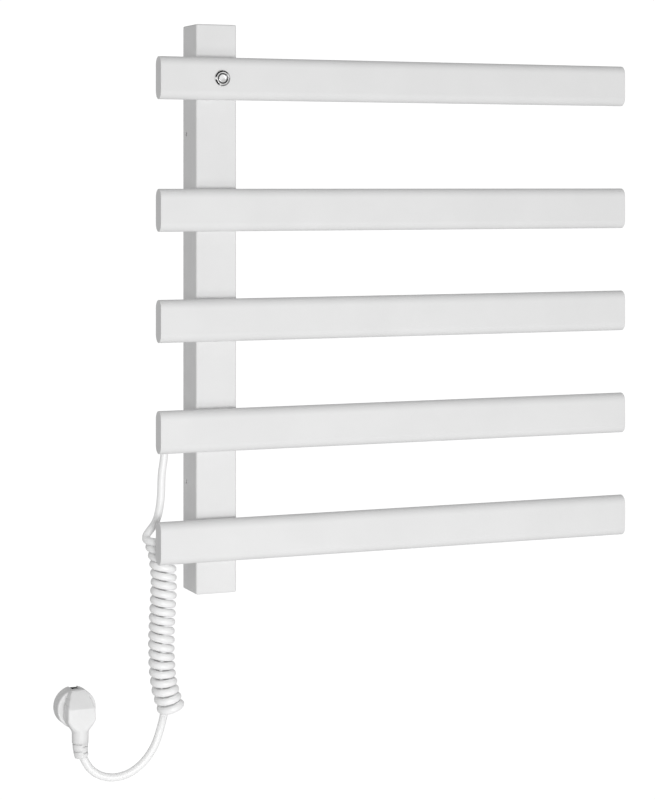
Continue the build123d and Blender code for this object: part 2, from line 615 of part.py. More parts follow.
def make_plug_insert():
    """The round half with its pins along +Y, and a sprung earth clip above and below."""
    insert = rod_y(PLUG_X, PLUG_Z, PLUG_INSERT_FRONT, PLUG_INSERT_BACK, PLUG_DIAMETER)
    insert = chamfer(insert.faces().sort_by(Axis.Y)[-1].edges(), 0.8)
    pins = []
    clips = []
    radius = PLUG_DIAMETER / 2
    groove_x = (PLUG_X - CLIP_GROOVE_WIDTH / 2, PLUG_X + CLIP_GROOVE_WIDTH / 2)
    clip_x = (PLUG_X - CLIP_WIDTH / 2, PLUG_X + CLIP_WIDTH / 2)
    for side in (-1, 1):
        floor = PLUG_Z + side * (radius - CLIP_GROOVE_DEPTH)
        groove_z = sorted((floor, PLUG_Z + side * (radius + 1)))
        insert -= block(groove_x, (PLUG_INSERT_FRONT + 3, PLUG_INSERT_BACK + 1), groove_z)
        clip_z = sorted((floor, floor + side * CLIP_THICKNESS))
        clip = block(clip_x, (PLUG_INSERT_FRONT + 4, PLUG_INSERT_BACK - 0.5), clip_z)
        clips.append(clip.solid())
        x = PLUG_X + side * PIN_SPACING / 2
        pin = rod_y(x, PLUG_Z, PLUG_INSERT_BACK, PLUG_INSERT_BACK + PIN_LENGTH, PIN_DIAMETER)
        pin = fillet(pin.faces().sort_by(Axis.Y)[-1].edges(), PIN_TIP)
        pins.append(pin.solid())
    keep("plug_insert", insert)
    keep("plug_pins", Compound(children=pins))
    keep("plug_earth_clips", Compound(children=clips))


def make_plug_cover():
    """A wedge with a neck, made as a front outline cut by a side profile."""
    half_outline = ((COVER_TOP_HALF, COVER_TOP), (COVER_HALF, COVER_RIDGE),
                    (COVER_HALF, COVER_WAIST), (NECK_HALF, NECK_TOP), (NECK_HALF, NECK_END))
    left_half = [(-x, z) for x, z in reversed(half_outline)]
    outline = make_face(Polyline(*half_outline, *left_half, close=True))
    corners = outline.vertices().filter_by(lambda v: v.Y > NECK_END)
    outline = fillet(corners, COVER_CORNER)
    profile = make_face(Polyline(
        (COVER_BACK, COVER_TOP), (COVER_TOP_FRONT, COVER_TOP), (COVER_FRONT, COVER_RIDGE),
        (COVER_FRONT, NECK_END), (NECK_BACK, NECK_END), (NECK_BACK, NECK_TOP),
        (COVER_BACK, COVER_WAIST - 4), close=True))
    corners = profile.vertices().filter_by(lambda v: v.X < NECK_BACK and v.Y > NECK_END)
    profile = fillet(corners, COVER_CORNER)
    reach = 60
    front_view = extrude(Plane.XZ * outline, reach, both=True)
    side_view = extrude(Plane.YZ * profile, reach, both=True)
    cover = front_view & side_view
    cover = fillet(cover.edges().filter_by(lambda e: e.center().Y < NECK_BACK - 1), COVER_ROUNDING)
    keep("plug_cover", Pos(PLUG_X, 0, PLUG_Z) * cover)


def make_plug_relief():
    """The plug's strain relief, which bends towards the cord."""
    top = Vector(PLUG_X, (COVER_FRONT + NECK_BACK) / 2, PLUG_Z + NECK_END)
    tip = Vector(*PLUG_RELIEF_TIP)
    tilt = math.radians(PLUG_RELIEF_TILT)
    middle = (top + tip) / 2 - Vector(0.4, 0, 0)
    middle_radius = (PLUG_RELIEF_TOP_RADIUS + PLUG_RELIEF_TIP_RADIUS) / 2
    keep("plug_strain_relief", loft([
        Plane(top, z_dir=(0, 0, -1)) * Circle(PLUG_RELIEF_TOP_RADIUS),
        Plane(middle, z_dir=(math.sin(tilt / 2), 0, -math.cos(tilt / 2))) * Circle(middle_radius),
        Plane(tip, z_dir=(math.sin(tilt), 0, -math.cos(tilt))) * Circle(PLUG_RELIEF_TIP_RADIUS),
    ]))


# ---- the whole rack ------------------------------------------------------------

make_column()
column_cap("column_cap_top", 1)
column_cap("column_cap_bottom", -1)
for rail_number, rail_height in enumerate(RAIL_HEIGHTS, start=1):
    make_rail(rail_number, rail_height)
    rail_cap(f"rail_cap_left_{rail_number}", rail_height, -1)
    rail_cap(f"rail_cap_right_{rail_number}", rail_height, 1)
    heating_cable(rail_number, rail_height)
make_grommets()
wall_bracket("wall_bracket_upper", BRACKET_HEIGHTS[0])
wall_bracket("wall_bracket_lower", BRACKET_HEIGHTS[1])
make_grub_screws()
make_board()
make_earth()
make_wiring(make_button())
make_outlet()
make_cord()
make_plug_insert()
make_plug_cover()
make_plug_relief()

os.makedirs("parts", exist_ok=True)
for part_name, part_shape in parts.items():
    export_step(part_shape, f"parts/{part_name}.step")
print(len(parts), "parts")
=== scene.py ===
import json
import math

import bmesh
import bpy
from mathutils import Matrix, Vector


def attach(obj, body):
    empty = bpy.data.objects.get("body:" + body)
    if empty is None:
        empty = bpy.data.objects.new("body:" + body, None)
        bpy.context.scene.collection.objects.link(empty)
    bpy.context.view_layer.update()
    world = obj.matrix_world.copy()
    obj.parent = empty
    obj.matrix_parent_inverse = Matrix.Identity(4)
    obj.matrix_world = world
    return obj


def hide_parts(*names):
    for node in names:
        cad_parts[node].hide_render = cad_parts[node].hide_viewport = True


# An electric towel warmer rack, in metres, around its CAD frame.
# X runs along the rails, +Y runs into the wall, +Z is up.
# Routes and the radii round them are in metres; the profiles of the button and the plug are in millimetres.

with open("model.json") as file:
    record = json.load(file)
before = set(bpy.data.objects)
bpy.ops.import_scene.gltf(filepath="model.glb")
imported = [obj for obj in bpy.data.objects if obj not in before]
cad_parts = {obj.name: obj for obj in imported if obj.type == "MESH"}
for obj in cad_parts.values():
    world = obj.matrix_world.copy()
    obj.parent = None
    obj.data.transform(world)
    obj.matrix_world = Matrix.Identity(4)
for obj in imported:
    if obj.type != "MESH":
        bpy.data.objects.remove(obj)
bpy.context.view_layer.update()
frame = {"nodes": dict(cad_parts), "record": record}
nodes = frame["nodes"]

MM_PER_METRE = 1000
AXIS_RADIUS = 0.02         # stands in for zero where a turned profile meets its axis, in millimetres

# ---- camera -----------------------------------------------------------------

CAMERA_PLACE = (-0.699, -2.037, 0.1167)
CAMERA_TURN = math.radians(-22.27)
CAMERA_LENS = 100.485      # millimetres
CAMERA_SENSOR = 36.0       # millimetres along the picture's long side
CAMERA_SHIFT = -0.269      # shares of the long side; the picture is taken level and its middle lies lower


def make_camera():
    data = bpy.data.cameras.new("camera")
    data.sensor_width = CAMERA_SENSOR
    data.lens = CAMERA_LENS
    data.shift_y = CAMERA_SHIFT
    data.clip_start = 0.05
    data.clip_end = 50.0
    camera = bpy.data.objects.new("camera", data)
    camera.location = CAMERA_PLACE
    camera.rotation_euler = (math.radians(90), 0.0, CAMERA_TURN)
    bpy.context.scene.collection.objects.link(camera)
    bpy.context.scene.camera = camera


# ---- the mains cord ---------------------------------------------------------

CORD_DIAMETER = 0.0074
COIL_DIAMETER = 0.0250
COIL_TURNS = 19.93
POINTS_PER_TURN = 16
COIL_FIRST_POINT = 3       # where the plain stretch takes over from the first turn
COIL_START_ANGLE = math.radians(160)
LEAN_TOP = math.radians(-2.2)
LEAN_ADDED = math.radians(30)
LEAN_FROM_TURN = 12.3
LEAN_OVER_TURNS = 7.0
LEAN_EASING = 1.15
LAST_TURN_OPENS = 0.08
UNEVENNESS = 0.012         # share by which the coil's radius wanders
UNEVENNESS_PER_TURN = 2.3  # radians of that wander in each turn

# Centreline from the strain relief's tip to the coil.
CORD_UPPER_ROUTE = (
    (-0.0446, -0.0350, -0.1260),
    (-0.0446, -0.0350, -0.1370),
    (-0.0480, -0.0350, -0.1560),
    (-0.0480, -0.0350, -0.1775),
    (-0.0518, -0.0345, -0.1985),
    (-0.0572, -0.0315, -0.2070),
    (-0.0620, -0.0310, -0.2130),
    (-0.0630, -0.0355, -0.2168),
)
# Axis of the coil.
COIL_ROUTE = (
    (-0.0533, -0.0350, -0.2160),
    (-0.0482, -0.0350, -0.2290),
    (-0.0450, -0.0350, -0.2520),
    (-0.0468, -0.0350, -0.2830),
    (-0.0482, -0.0350, -0.3120),
    (-0.0473, -0.0350, -0.3425),
    (-0.0433, -0.0350, -0.3628),
    (-0.0370, -0.0350, -0.3795),
)
# Centreline from the coil's end, down in a U and up into the plug.
CORD_LOWER_ROUTE = (
    (-0.0476, -0.0335, -0.3925),
    (-0.0540, -0.0345, -0.4105),
    (-0.0650, -0.0330, -0.4260),
    (-0.0795, -0.0305, -0.4360),
    (-0.0957, -0.0270, -0.4386),
    (-0.1090, -0.0234, -0.4338),
    (-0.1170, -0.0208, -0.4250),
    (-0.1210, -0.0199, -0.4150),
)


def nurbs_curve(name, points, radius=1.0):
    """A curve object with one smooth open spline and those control points."""
    data = bpy.data.curves.new(name, "CURVE")
    data.dimensions = "3D"
    spline = data.splines.new("NURBS")
    spline.points.add(len(points) - 1)
    for point, place in zip(spline.points, points):
        point.co = (*place, 1.0)
        point.radius = radius
    spline.order_u = 3
    spline.use_endpoint_u = True
    curve = bpy.data.objects.new(name, data)
    bpy.context.scene.collection.objects.link(curve)
    return curve


def points_along(route):
    """Close points along the smooth line of a route."""
    curve = nurbs_curve("route", route)
    curve.data.resolution_u = 24
    bpy.context.view_layer.update()
    mesh = bpy.data.meshes.new_from_object(curve)
    points = [vertex.co.copy() for vertex in mesh.vertices]
    bpy.data.objects.remove(curve)
    bpy.data.meshes.remove(mesh)
    return points


def at_share(points, share):
    """The place and direction at that share of a line's length."""
    lengths = [(b - a).length for a, b in zip(points, points[1:])]
    target = min(max(share, 0.0), 1.0) * sum(lengths)
    for start, end, length in zip(points, points[1:], lengths):
        if target <= length:
            break
        target -= length
    return start.lerp(end, min(target / length, 1.0)), (end - start).normalized()


def coil_points():
    """Control points of the coil's turns, round an axis that hangs a little unevenly."""
    axis = points_along(COIL_ROUTE)
    mean_radius = (COIL_DIAMETER - CORD_DIAMETER) / 2
    step = 2 * math.pi / POINTS_PER_TURN
    # A quadratic spline runs a little inside its control points.
    control_radius = mean_radius / (0.75 + 0.25 * math.cos(step))
    count = round(COIL_TURNS * POINTS_PER_TURN)
    points = []
    for index in range(COIL_FIRST_POINT, count + 1):
        turn = index / POINTS_PER_TURN
        centre, _ = at_share(axis, turn / COIL_TURNS)
        late = min(max((turn - LEAN_FROM_TURN) / LEAN_OVER_TURNS, 0.0), 1.0)
        lean = LEAN_TOP + LEAN_ADDED * late**LEAN_EASING
        angle = COIL_START_ANGLE + step * index
        wander = UNEVENNESS * math.sin(UNEVENNESS_PER_TURN * turn)
        radius = control_radius * (1 + wander + LAST_TURN_OPENS * late**2)
        sideways = Vector((math.cos(lean), 0.0, math.sin(lean)))
        inwards = Vector((0.0, 1.0, 0.0))
        offset = sideways * math.cos(angle) + inwards * math.sin(angle)
        points.append(centre + offset * radius)
    return points


def make_cord():
    """The whole cord as one curve, from the strain relief's tip into the plug."""
    route = [Vector(p) for p in CORD_UPPER_ROUTE] + coil_points()
    route += [Vector(p) for p in CORD_LOWER_ROUTE]
    cord = nurbs_curve("mains_cord", route, CORD_DIAMETER / 2)
    cord.data.resolution_u = 5
    cord.data.bevel_depth = 1.0  # times the radius of the points
    cord.data.bevel_resolution = 5
    cord.data.use_fill_caps = True
    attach(cord, "rack")
    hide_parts("cord_upper", "cord_coil", "cord_lower")
    return cord


# ---- materials --------------------------------------------------------------

# Noise keeps to the middle of its range, so the finishes spread out this part of it.
NOISE_LOW = 0.3
NOISE_HIGH = 0.7
FIRST_COLOUR_AT = 0.35
SECOND_COLOUR_AT = 0.65


class Finish:
    """One procedural material, built up step by step."""

    def __init__(self, name, roughness, metallic=0.0):
        self.material = bpy.data.materials.new(name)
        self.material.use_nodes = True
        self.tree = self.material.node_tree
        self.shader = self.tree.nodes["Principled BSDF"]
        self.shader.inputs["Roughness"].default_value = roughness
        self.shader.inputs["Metallic"].default_value = metallic
        self.places = self.tree.nodes.new("ShaderNodeTexCoord").outputs["Object"]

    def node(self, kind, **settings):
        made = self.tree.nodes.new(kind)
        for key, value in settings.items():
            setattr(made, key, value)
        return made

    def link(self, source, target):
        self.tree.links.new(source, target)

    def stretched(self, scale):
        mapping = self.node("ShaderNodeMapping")
        mapping.inputs["Scale"].default_value = scale
        self.link(self.places, mapping.inputs["Vector"])
        return mapping.outputs["Vector"]

    def noise(self, size, detail=2.0, along=(1.0, 1.0, 1.0)):
        """Soft noise whose blotches are about size metres across."""
        texture = self.node("ShaderNodeTexNoise")
        texture.inputs["Scale"].default_value = 1.0 / size
        texture.inputs["Detail"].default_value = detail
        self.link(self.stretched(along), texture.inputs["Vector"])
        return texture.outputs["Fac"]

    def between(self, factor, low, high, socket):
        """Spreads a factor over a range of numbers or greys into a shader socket."""
        spread = self.node("ShaderNodeMapRange")
        spread.inputs["From Min"].default_value = NOISE_LOW
        spread.inputs["From Max"].default_value = NOISE_HIGH
        spread.inputs["To Min"].default_value = low
        spread.inputs["To Max"].default_value = high
        self.link(factor, spread.inputs["Value"])
        self.link(spread.outputs["Result"], self.shader.inputs[socket])

    def colours(self, factor, first, second):
        """Blends from the first colour to the second."""
        ramp = self.node("ShaderNodeValToRGB")
        ramp.color_ramp.elements[0].position = FIRST_COLOUR_AT
        ramp.color_ramp.elements[0].color = (*first, 1.0)
        ramp.color_ramp.elements[1].position = SECOND_COLOUR_AT
        ramp.color_ramp.elements[1].color = (*second, 1.0)
        self.link(factor, ramp.inputs["Fac"])
        self.link(ramp.outputs["Color"], self.shader.inputs["Base Color"])

    def bump(self, factor, height, strength):
        """Bumps of about height metres."""
        bump = self.node("ShaderNodeBump")
        bump.inputs["Distance"].default_value = height
        bump.inputs["Strength"].default_value = strength
        self.link(factor, bump.inputs["Height"])
        self.link(bump.outputs["Normal"], self.shader.inputs["Normal"])

    def set(self, socket, value):
        self.shader.inputs[socket].default_value = value


def grey(value):
    return (value, value, value)


def powder_coat(name, white):
    """White powder coat: satin, with a very fine orange peel."""
    finish = Finish(name, 0.5)
    finish.colours(finish.noise(0.05, detail=3.0), grey(white * 0.985), grey(white * 1.01))
    finish.between(finish.noise(0.012, detail=2.0), 0.47, 0.56, "Roughness")
    finish.bump(finish.noise(0.0016, detail=1.0), height=0.00002, strength=0.35)
    finish.set("Specular IOR Level", 0.3)
    return finish.material


def moulded_plastic(name, first, second, roughness=0.45, grain=0.0008):
    """Smooth plastic with a fine moulded grain."""
    finish = Finish(name, roughness)
    finish.colours(finish.noise(0.015, detail=3.0), first, second)
    finish.between(finish.noise(0.006, detail=2.0), roughness - 0.06, roughness + 0.06, "Roughness")
    finish.bump(finish.noise(grain, detail=1.0), height=0.00002, strength=0.3)
    return finish.material


def flexible_pvc(name, white):
    """Soft white cable sheath with a waxy sheen."""
    finish = Finish(name, 0.38)
    finish.colours(finish.noise(0.02, detail=3.0), grey(white * 0.98), grey(white * 1.01))
    finish.between(finish.noise(0.004, detail=2.0), 0.32, 0.44, "Roughness")
    finish.bump(finish.noise(0.002, detail=1.0), height=0.00001, strength=0.1)
    finish.set("Specular IOR Level", 0.35)
    finish.set("Subsurface Weight", 0.6)
    finish.set("Subsurface Radius", (1.0, 1.0, 1.0))
    finish.set("Subsurface Scale", 0.004)
    return finish.material


def plated_steel(name, bright, roughness):
    """Plated metal with fine marks drawn across Y."""
    finish = Finish(name, roughness, 1.0)
    finish.colours(finish.noise(0.008, detail=4.0), grey(bright * 0.9), grey(bright * 1.05))
    finish.between(finish.noise(0.003, detail=3.0), roughness - 0.07, roughness + 0.08, "Roughness")
    finish.bump(finish.noise(0.0006, detail=2.0, along=(1.0, 6.0, 1.0)), height=0.00002, strength=0.4)
    return finish.material


def polished_chrome(name, bright, roughness):
    """Mirror-like plating, here and there a little duller."""
    finish = Finish(name, roughness, 1.0)
    finish.colours(finish.noise(0.004, detail=2.0), grey(bright - 0.04), grey(bright + 0.04))
    finish.between(finish.noise(0.0012, detail=3.0), roughness - 0.03, roughness + 0.05, "Roughness")
    return finish.material


def soft_rubber(name, first, second, roughness):
    finish = Finish(name, roughness)
    finish.colours(finish.noise(0.004, detail=3.0), first, second)
    finish.between(finish.noise(0.002, detail=2.0), roughness - 0.1, roughness + 0.1, "Roughness")
    finish.bump(finish.noise(0.0005, detail=2.0), height=0.00003, strength=0.5)
    return finish.material


def circuit_board(name):
    """Green board with lighter, slightly raised tracks."""
    finish = Finish(name, 0.4)
    tracks = finish.noise(0.003, detail=0.0, along=(1.0, 1.0, 0.35))
    finish.colours(tracks, (0.02, 0.13, 0.05), (0.05, 0.27, 0.12))
    finish.bump(tracks, height=0.00003, strength=0.5)
    return finish.material


def make_materials():
    """Every material, by name."""
    finishes = (
        ("white_enamel", powder_coat, 0.80),
        ("white_cap", powder_coat, 0.79),
        ("zinc_steel", plated_steel, 0.62, 0.38),
        ("grub_steel", plated_steel, 0.22, 0.42),
        ("chrome", polished_chrome, 0.82, 0.08),
        ("trim_chrome", polished_chrome, 0.9, 0.3),
        ("dish_chrome", polished_chrome, 0.9, 0.16),
        ("light_ring", moulded_plastic, grey(0.05), grey(0.08), 0.2),
        ("spring_steel", plated_steel, 0.6, 0.25),
        ("black_rubber", soft_rubber, grey(0.02), grey(0.035), 0.7),
        ("switch_plastic", moulded_plastic, grey(0.02), grey(0.04)),
        ("heater_silicone", soft_rubber, (0.35, 0.06, 0.03), (0.42, 0.09, 0.05), 0.5),
        ("wire_insulation", moulded_plastic, grey(0.55), grey(0.66)),
        ("board_green", circuit_board),
        ("carrier_plastic", moulded_plastic, grey(0.6), grey(0.68)),
        ("tinned_copper", plated_steel, 0.7, 0.3),
        ("white_plastic", moulded_plastic, grey(0.78), grey(0.82)),
        ("cord_pvc", flexible_pvc, 0.93),
        ("plug_pvc", flexible_pvc, 0.82),
        ("nickel_brass", plated_steel, 0.72, 0.18),
    )
    return {name: maker(name, *settings) for name, maker, *settings in finishes}


def dress_nodes():
    """Gives every CAD node the finish of its slot in the record."""
    for part in frame["record"]["subparts"]:
        mesh = nodes[part["node"]].data
        mesh.materials.clear()
        mesh.materials.append(materials[part["material_slot"]])


# ---- building pieces --------------------------------------------------------


def add_mesh(name, rings, closed=False, sharp=30.0):
    """One skin over rings of points, with both ends capped unless the rings close on themselves."""
    count = len(rings[0])
    vertices = [point for ring in rings for point in ring]
    bands = list(zip(range(len(rings)), range(1, len(rings))))
    if closed:
        bands.append((len(rings) - 1, 0))
    faces = []
    for low, high in bands:
        for index in range(count):
            after = (index + 1) % count
            near = (low * count + index, low * count + after)
            far = (high * count + after, high * count + index)
            faces.append(near + far)
    if not closed:
        faces.append(tuple(reversed(range(count))))
        last = (len(rings) - 1) * count
        faces.append(tuple(range(last, last + count)))
    mesh = bpy.data.meshes.new(name)
    mesh.from_pydata([tuple(v) for v in vertices], [], faces)
    shape = bmesh.new()
    shape.from_mesh(mesh)
    bmesh.ops.recalc_face_normals(shape, faces=shape.faces)
    shape.to_mesh(mesh)
    shape.free()
    mesh.shade_smooth()
    mesh.set_sharp_from_angle(angle=math.radians(sharp))
    piece = bpy.data.objects.new(name, mesh)
    bpy.context.scene.collection.objects.link(piece)
    return piece


def joined(name, parts):
    """Several mesh objects as one piece."""
    shape = bmesh.new()
    for part in parts:
        shape.from_mesh(part.data)
    mesh = bpy.data.meshes.new(name)
    shape.to_mesh(mesh)
    shape.free()
    for part in parts:
        old = part.data
        bpy.data.objects.remove(part)
        bpy.data.meshes.remove(old)
    piece = bpy.data.objects.new(name, mesh)
    bpy.context.scene.collection.objects.link(piece)
    return piece


def rounded(corners, steps=6):
    """A flat line through (a, b, radius) corners, each rounded with its radius."""
    line = []
    last = len(corners) - 1
    for index, (a, b, radius) in enumerate(corners):
        here = Vector((a, b))
        if radius == 0 or index in (0, last):
            line.append(here)
            continue
        back = (Vector(corners[index - 1][:2]) - here).normalized()
        ahead = (Vector(corners[index + 1][:2]) - here).normalized()
        half = back.angle(ahead) / 2
        reach = radius / math.tan(half)
        start = here + back * reach
        end = here + ahead * reach
        centre = here + (back + ahead).normalized() * (radius / math.sin(half))
        turn = math.pi - 2 * half
        for step in range(steps + 1):
            share = math.sin(turn * (1 - step / steps)) / math.sin(turn)
            other = math.sin(turn * step / steps) / math.sin(turn)
            line.append(centre + (start - centre) * share + (end - centre) * other)
    return line


def value_at(line, place):
    """The height of a line of (place, height) points, in either order along it."""
    for start, end in zip(line, line[1:]):
        low, high = sorted((start[0], end[0]))
        if low <= place <= high and high > low:
            share = (place - start[0]) / (end[0] - start[0])
            return start[1] + share * (end[1] - start[1])
    return line[0][1] if abs(place - line[0][0]) < abs(place - line[-1][0]) else line[-1][1]


def turned(name, centre, profile, closed=False, segments=96):
    """A piece turned round a line along Y. The profile is (radius, y) points, in millimetres."""
    rings = []
    for radius, y in profile:
        ring = []
        for index in range(segments):
            angle = 2 * math.pi * index / segments
            x = centre[0] + radius * math.cos(angle)
            z = centre[1] + radius * math.sin(angle)
            ring.append((x / MM_PER_METRE, y / MM_PER_METRE, z / MM_PER_METRE))
        rings.append(ring)
    return add_mesh(name, rings, closed)


def swept(name, route, radius_at, segments, rings_count):
    """A round sleeve along a route. radius_at(share, angle) gives its radius there."""
    line = points_along(route)
    rings = []
    across = Vector((0.0, 1.0, 0.0))
    for index in range(rings_count + 1):
        share = index / rings_count
        centre, along = at_share(line, share)
        side = along.cross(across).normalized()
        ring = []
        for step in range(segments):
            angle = 2 * math.pi * step / segments
            direction = side * math.cos(angle) + side.cross(along) * math.sin(angle)
            ring.append(centre + direction * radius_at(share, angle))
        rings.append(ring)
    return add_mesh(name, rings)


def finish_piece(piece, material, slot, body, *replaced):
    """Dresses a piece and says which body it rides on and which CAD nodes it replaces."""
    piece.data.materials.append(materials[material])
    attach(piece, body)
    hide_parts(*replaced)
    return piece


# ---- push button ------------------------------------------------------------

BUTTON_CENTRE = (0.0, 216.0)
METAL_EDGE = 0.05          # rounding of the fine turned edges
BEZEL_FRONT = -73.0
BEZEL_BACK = -71.5
BEZEL_RADIUS = 7.4
BEZEL_RIM = 0.2            # flat part round the recess
BEZEL_SLOPE = 0.75         # how far the slope outside it falls back
RECESS_RADIUS = 5.75
RECESS_FLOOR = -71.8
THREAD_PITCH = 1.0
THREAD_FRONT = -70.9
THREAD_BACK = -45.0
THREAD_CREST_RADIUS = 6.0
THREAD_ROOT_RADIUS = 5.55
# One thread: radii against shares of the pitch.
THREAD = (
    (THREAD_ROOT_RADIUS, 0.0), (THREAD_ROOT_RADIUS, 0.1),
    (THREAD_CREST_RADIUS, 0.5), (THREAD_CREST_RADIUS, 0.6),
)
BARREL_BACK = -44.0
BARREL_END_RADIUS = 5.4
BORE_RADIUS = 5.0
BORE_FRONT = -62.0
GUIDE_RADIUS = 3.4
GUIDE_FRONT = -66.2
TRIM_INNER_RADIUS = 5.2
TRIM_FRONT = -72.8
LIGHT_INNER_RADIUS = 3.75
LIGHT_INNER_FRONT = -72.35
LIGHT_CREST = -72.55
LIGHT_CREST_RADIUS = LIGHT_INNER_RADIUS + 0.7
LIGHT_OUTER_FRONT = -72.4
BUTTON_RADIUS = 3.7
BUTTON_FRONT = -72.7
BUTTON_BACK = BUTTON_FRONT + 5.0
DISH_RADIUS = 3.45
DISH_DEPTH = 0.34
DISH_STEPS = 12
STEM_RADIUS = 1.5
STEM_BACK = -61.0


def make_bezel():
    """The housing: a chrome rim, flat round its recess and sloping outside, and its threaded barrel."""
    outline = [(RECESS_RADIUS, RECESS_FLOOR, 0), (RECESS_RADIUS, BEZEL_FRONT, METAL_EDGE)]
    outline += [(RECESS_RADIUS + BEZEL_RIM, BEZEL_FRONT, METAL_EDGE)]
    outline += [(BEZEL_RADIUS, BEZEL_FRONT + BEZEL_SLOPE, 0.15), (BEZEL_RADIUS, BEZEL_BACK, 0.1)]
    outline += [(THREAD_CREST_RADIUS, BEZEL_BACK, 0)]
    profile = rounded(outline)
    y = THREAD_FRONT
    while y < THREAD_BACK:
        profile += [Vector((radius, y + share * THREAD_PITCH)) for radius, share in THREAD]
        y += THREAD_PITCH
    inside = [(BARREL_END_RADIUS, BARREL_BACK), (BORE_RADIUS, BARREL_BACK)]
    inside += [(BORE_RADIUS, BORE_FRONT), (GUIDE_RADIUS, BORE_FRONT), (GUIDE_RADIUS, GUIDE_FRONT)]
    inside += [(LIGHT_INNER_RADIUS, GUIDE_FRONT - 0.1), (LIGHT_INNER_RADIUS, RECESS_FLOOR)]
    profile += [Vector(corner) for corner in inside]
    return turned("button_bezel", BUTTON_CENTRE, profile, closed=True, segments=128)


def make_trim():
    """The bright ring inside the recess."""
    outline = [(TRIM_INNER_RADIUS, RECESS_FLOOR, 0), (TRIM_INNER_RADIUS, TRIM_FRONT, METAL_EDGE)]
    outline += [(RECESS_RADIUS, TRIM_FRONT, METAL_EDGE), (RECESS_RADIUS, RECESS_FLOOR, 0)]
    return turned("button_trim", BUTTON_CENTRE, rounded(outline), closed=True)


def make_light_ring():
    """The dark lens between the cap and the trim ring."""
    outline = [(LIGHT_INNER_RADIUS, RECESS_FLOOR, 0), (LIGHT_INNER_RADIUS, LIGHT_INNER_FRONT, 0.1)]
    outline += [(LIGHT_CREST_RADIUS, LIGHT_CREST, 0.4), (TRIM_INNER_RADIUS, LIGHT_OUTER_FRONT, 0.1)]
    outline += [(TRIM_INNER_RADIUS, RECESS_FLOOR, 0)]
    return turned("button_lens", BUTTON_CENTRE, rounded(outline), closed=True)


def make_push():
    """The moving cap: a rounded shoulder round a shallow dish, and its stem."""
    profile = []
    for step in range(DISH_STEPS + 1):
        share = step / DISH_STEPS
        profile.append(Vector((DISH_RADIUS * share, BUTTON_FRONT + DISH_DEPTH * (1 - share**2))))
    profile[0][0] = AXIS_RADIUS
    shoulder = [(DISH_RADIUS - 0.1, BUTTON_FRONT, 0), (BUTTON_RADIUS, BUTTON_FRONT, 0.12)]
    shoulder += [(BUTTON_RADIUS, BUTTON_BACK, 0.3), (STEM_RADIUS, BUTTON_BACK, 0)]
    shoulder += [(STEM_RADIUS, STEM_BACK, 0.3), (0.3, STEM_BACK + 0.1, 0)]
    profile += rounded(shoulder)[1:]
    return turned("button_push", BUTTON_CENTRE, profile)


def make_button_pieces():
    finish_piece(make_bezel(), "chrome", "chrome", "rack", "button_housing")
    finish_piece(make_trim(), "trim_chrome", "chrome", "rack", "button_trim_ring")
    finish_piece(make_light_ring(), "light_ring", "light_ring", "rack", "button_light_ring")
    finish_piece(make_push(), "dish_chrome", "chrome", "button", "button_cap")


# ---- cord outlet ------------------------------------------------------------

SLEEVE_ROUTE = (
    (-0.0231, -0.0350, -0.1060),
    (-0.0246, -0.0350, -0.1060),
    (-0.0329, -0.0350, -0.1060),
    (-0.0446, -0.0350, -0.1177),
    (-0.0446, -0.0350, -0.1260),
)
SLEEVE_START_RADIUS = 0.0068
SLEEVE_TAPER = 0.0021
SLEEVE_TIP_FROM = 0.97     # shares of the sleeve's length
SLEEVE_RIBS_FROM = 0.28
SLEEVE_RIBS_OVER = 0.66
SLEEVE_TIP_ROUNDING = 0.0006
SLEEVE_RIBS = 8
SLEEVE_GROOVE_SHARE = 0.42
SLEEVE_GROOVE_DEPTH = 0.0010


def outlet_radius(share, angle):
    """Ribbed and tapering towards the cord, the same at every angle."""
    body = SLEEVE_START_RADIUS - SLEEVE_TAPER * share
    if share > SLEEVE_TIP_FROM:
        return body - SLEEVE_TIP_ROUNDING * (share - SLEEVE_TIP_FROM) / (1 - SLEEVE_TIP_FROM)
    if share < SLEEVE_RIBS_FROM:
        return body
    wave = (share - SLEEVE_RIBS_FROM) / SLEEVE_RIBS_OVER * SLEEVE_RIBS
    if wave < SLEEVE_RIBS and wave % 1 < SLEEVE_GROOVE_SHARE:
        return body - SLEEVE_GROOVE_DEPTH
    return body


def make_outlet_sleeve():
    sleeve = swept("outlet_sleeve", SLEEVE_ROUTE, outlet_radius, 64, 150)
    finish_piece(sleeve, "white_plastic", "white_plastic", "rack", "cord_strain_relief")


# ---- mains plug -------------------------------------------------------------

PLUG_X = -122.5
PLUG_Z = -375.0
PLUG_SEAM = -9.0
PLUG_RADIUS = 18.5
PLUG_FACE = 8.0
FACE_GROOVE_OUTER = 15.6
FACE_GROOVE_INNER = 14.4
FACE_GROOVE_DEPTH = 0.5
FACE_GROOVE_SLOPE = 0.2
INSERT_STEP = 1.5          # about how far apart the insert's rings are along its profile
PIN_RADIUS = 2.4
PIN_OFFSET = 9.5
PIN_ROOT = 7.0
PIN_COLLAR_RADIUS = 3.1
PIN_COLLAR_FRONT = 8.25
PIN_TIP = 27.0
PIN_TIP_RADIUS = 1.5
CLIP_GROOVE_HALF = 4.0
CLIP_GROOVE_DEPTH = 2.2
CLIP_GROOVE_FROM = PLUG_SEAM + 3.0
CLIP_START = -5.0
CLIP_LENGTH = 12.5
CLIP_LIFT = 0.65           # above the groove's floor at both ends
CLIP_BOW = 0.85
CLIP_STEPS = 24
